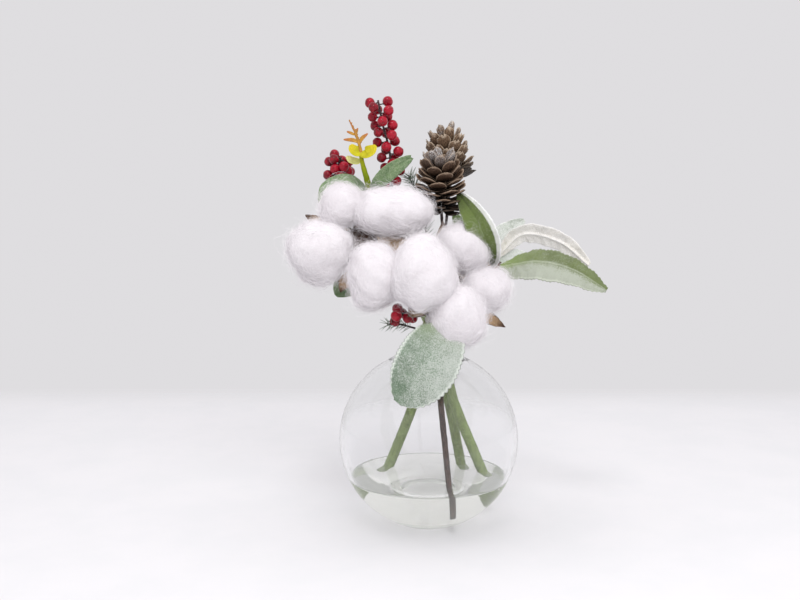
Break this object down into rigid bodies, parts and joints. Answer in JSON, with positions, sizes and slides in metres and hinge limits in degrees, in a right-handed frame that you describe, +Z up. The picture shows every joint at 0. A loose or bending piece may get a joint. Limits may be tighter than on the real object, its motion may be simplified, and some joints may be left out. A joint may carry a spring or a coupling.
{
  "type": "cotton stem bunch",
  "caption": "Bunch of cotton stems with open bolls, red berries, pine cones, woolly leaves and a frosted sprig, standing in water in a clear round vase.",
  "frame": {"origin": "centre of the vase's flat foot", "axes": "+Z up, +X to the viewer's right, +Y away from the side that the cotton faces"},
  "size_m": [0.1937, 0.1094, 0.2588],
  "materials": {
    "clear_glass": "clear, smooth, fire-polished rim",
    "water": "clear water",
    "raw_cotton": "soft loose cotton fibre",
    "dry_bur": "dry, matt",
    "brown_bark": "thin dry bark",
    "green_stem": "soft matt green",
    "red_berry": "glossy deep red",
    "pine_needle": "dark green, lightly frosted",
    "cone_scale": "dry woody scales",
    "woolly_leaf": "felted silver green",
    "frosted_leaf": "matt green with pale frost",
    "young_shoot": "waxy yellow green",
    "shoot_tip": "waxy orange brown"
  },
  "bodies": {
    "root": {"glass_vase": "clear_glass", "water": "water", "cotton_stem_trunk": "brown_bark", "cotton_branch_left": "brown_bark", "cotton_branch_right": "brown_bark", "cotton_bur_left": "dry_bur", "cotton_bur_right": "dry_bur", "cotton_lock_left_top": "raw_cotton", "cotton_lock_left_inner": "raw_cotton", "cotton_lock_left_outer": "raw_cotton", "cotton_lock_left_lower": "raw_cotton", "cotton_lock_right_inner": "raw_cotton", "cotton_lock_right_top": "raw_cotton", "cotton_lock_right_outer": "raw_cotton", "cotton_lock_right_lower": "raw_cotton", "pine_cone_wire_lower": "brown_bark", "pine_cone_wire_upper": "brown_bark", "pine_cone_lower": "cone_scale", "pine_cone_upper": "cone_scale", "berry_spray_tall": "red_berry", "berry_spray_short": "red_berry", "berry_spray_low": "red_berry", "pine_needle_sprig_upper": "pine_needle", "pine_needle_sprig_low": "pine_needle", "lambs_ear_stem_front": "green_stem", "lambs_ear_stem_right": "green_stem", "frosted_sprig_stem": "green_stem", "lambs_ear_leaf_front": "woolly_leaf", "lambs_ear_leaf_right": "woolly_leaf", "lambs_ear_leaf_arching": "woolly_leaf", "lambs_ear_leaf_back": "woolly_leaf", "lambs_ear_leaf_low": "woolly_leaf", "lambs_ear_leaf_upright": "woolly_leaf", "lambs_ear_leaf_small": "woolly_leaf", "frosted_leaf_left": "frosted_leaf", "frosted_leaf_right": "frosted_leaf", "frosted_leaf_low": "frosted_leaf", "shoot_stalk": "young_shoot", "shoot_leaf_right": "young_shoot", "shoot_leaf_left": "young_shoot", "shoot_leaf_pale": "young_shoot", "shoot_tip": "shoot_tip"}
  },
  "joints": []
}
